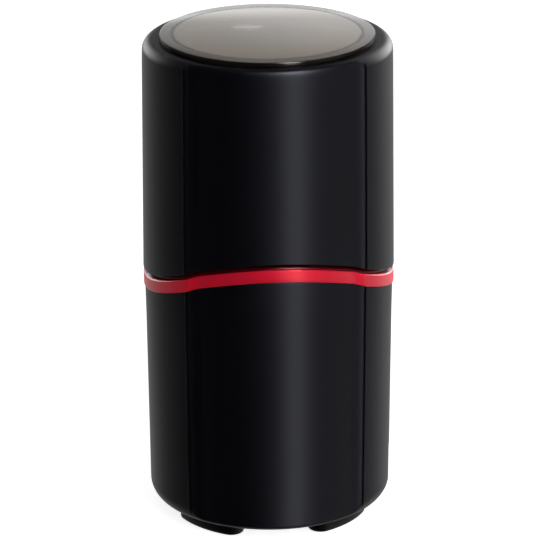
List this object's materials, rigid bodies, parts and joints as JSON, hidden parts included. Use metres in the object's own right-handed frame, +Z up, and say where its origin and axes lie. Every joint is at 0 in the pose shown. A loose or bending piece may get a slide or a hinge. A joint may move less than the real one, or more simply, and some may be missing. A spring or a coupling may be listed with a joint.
{
  "type": "electric spice grinder",
  "caption": "Cylindrical electric spice grinder with a press-down lid, smoked top window, waved trim ring, steel bowl, blade, motor and arc-shaped feet.",
  "frame": {"origin": "on the floor under the vertical axis of the drum, at the centre of the feet's underside", "axes": "+Z up along the drum's axis; the front panel faces -Y; +X to the right seen from the front"},
  "size_m": [0.09, 0.0864, 0.1783],
  "materials": {
    "black_plastic": "satin",
    "inner_plastic": "matte",
    "red_trim": "gloss",
    "smoked_window": "gloss",
    "bowl_steel": "brushed",
    "blade_steel": "ground",
    "steel": "machined",
    "lamination": "satin",
    "copper": "enamelled",
    "bronze": "sintered",
    "carbon": "matte",
    "black_rubber": "matte",
    "grey_rubber": "matte",
    "zinc": "cast",
    "white_plastic": "satin",
    "switch_plastic": "satin"
  },
  "bodies": {
    "base": {"body_housing": "black_plastic", "bowl_carrier": "inner_plastic", "trim_ring": "red_trim", "base_cover": "inner_plastic", "base_screws": "steel", "grinding_bowl": "bowl_steel", "bowl_gasket": "grey_rubber", "spindle_seal": "black_rubber", "stator_core": "lamination", "stator_coils": "copper", "upper_bracket": "zinc", "lower_bracket": "zinc", "upper_bushing": "bronze", "lower_bushing": "bronze", "motor_mounts": "black_rubber", "motor_screws": "steel", "brush_boxes": "white_plastic", "carbon_brushes": "carbon", "switch_case": "switch_plastic", "switch_screws": "steel", "cord_gland": "black_rubber", "cord_clamp": "inner_plastic", "clamp_screws": "steel", "terminal_block": "white_plastic", "foot_front_right": "black_rubber", "foot_rear_right": "black_rubber", "foot_rear_left": "black_rubber", "foot_front_left": "black_rubber"},
    "lid": {"lid_shell": "black_plastic", "lid_window": "smoked_window", "lid_liner": "inner_plastic", "lid_gasket": "grey_rubber", "lid_screws": "steel"},
    "press": {"push_rod": "white_plastic", "rod_clip": "steel", "press_spring": "steel"},
    "rotor": {"blade_hub": "inner_plastic", "blade": "blade_steel", "blade_nut": "steel", "motor_shaft": "steel", "armature_core": "lamination", "armature_windings": "copper", "commutator": "copper", "cooling_fan": "white_plastic"},
    "switch_button": {"switch_button": "white_plastic"},
    "switch_lever": {"switch_lever": "steel"}
  },
  "joints": [
    {"name": "press", "type": "slide", "parent": "base", "child": "press", "axis": [0, 0, 1], "range_m": [-0.001, 0], "stiffness_N_per_m": 1000, "springref_m": 0.003, "deforming": ["press_spring"]},
    {"name": "lid_lift", "type": "slide", "parent": "press", "child": "lid", "axis": [0, 0, 1], "range_m": [0, 0.08]},
    {"name": "rotor_spin", "type": "hinge", "parent": "base", "child": "rotor", "pos_m": [0, 0, 0.041], "axis": [0, 0, 1], "continuous": true},
    {"name": "switch_lever", "type": "hinge", "parent": "base", "child": "switch_lever", "pos_m": [0.0365, 0.0075, 0.058], "axis": [1, 0, 0], "range_deg": [0, 6.4]},
    {"name": "switch_button", "type": "slide", "parent": "base", "child": "switch_button", "axis": [0, 0, 1], "range_m": [-0.00062, 0]}
  ],
  "couplings": [
    {"joint": "switch_lever", "follows": "press", "rad_per_m": -111.11},
    {"joint": "switch_button", "follows": "press", "ratio": 0.61111}
  ]
}
